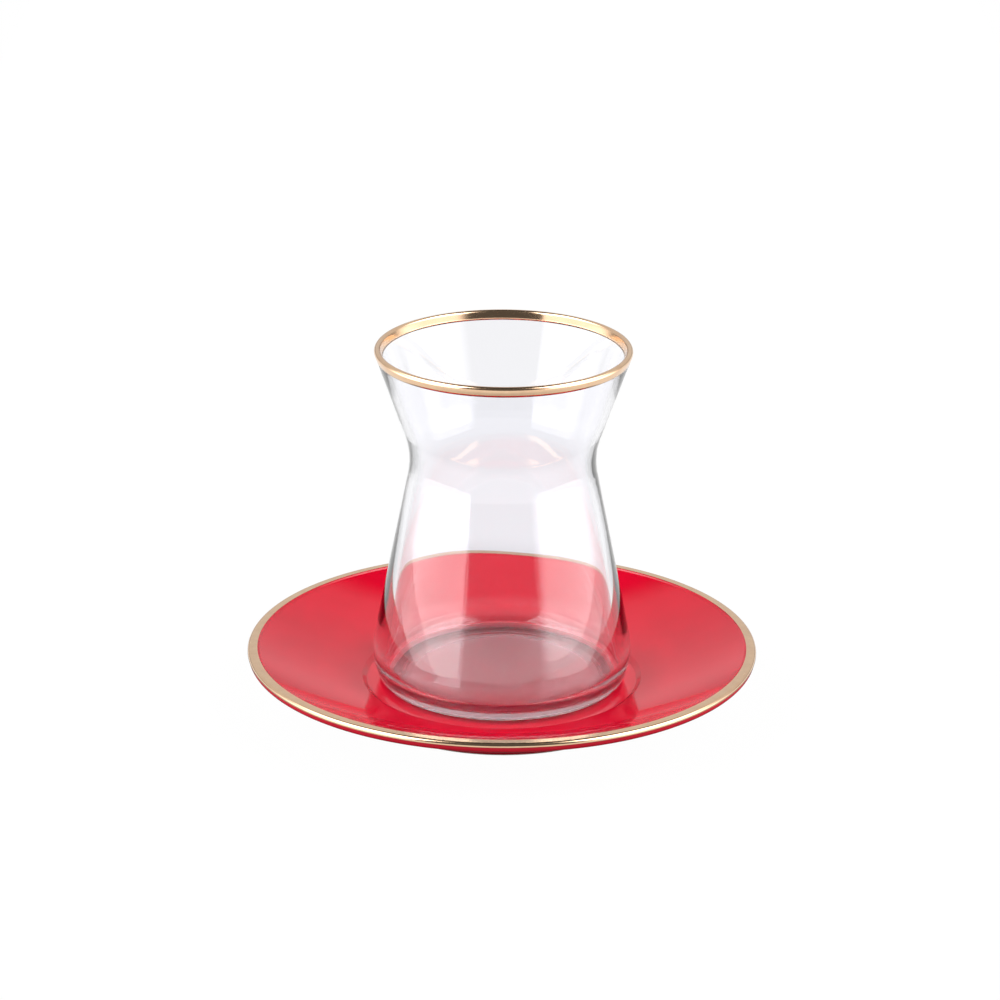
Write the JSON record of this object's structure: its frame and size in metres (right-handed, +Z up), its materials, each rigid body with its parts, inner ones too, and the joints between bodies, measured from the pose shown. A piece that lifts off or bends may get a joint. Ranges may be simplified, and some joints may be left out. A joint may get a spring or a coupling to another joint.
{
  "type": "turkish tea glass with saucer",
  "caption": "Empty waisted clear tea glass with a gilded lip, standing in the well of a red glazed saucer with a gilded edge.",
  "frame": {"origin": "centre of the saucer's foot ring, on the table", "axes": "+Z up along the axis of the glass and the saucer; +X to the right and +Y away in the picture"},
  "size_m": [0.125, 0.125, 0.0914],
  "materials": {
    "red_glaze": "glossy coloured glaze on porcelain",
    "bright_gold": "polished fired-on gold lustre",
    "clear_glass": "clear polished soda-lime glass"
  },
  "bodies": {
    "root": {"saucer": "red_glaze", "saucer_gold_band": "bright_gold", "tea_glass": "clear_glass", "glass_gold_band": "bright_gold"}
  },
  "joints": []
}
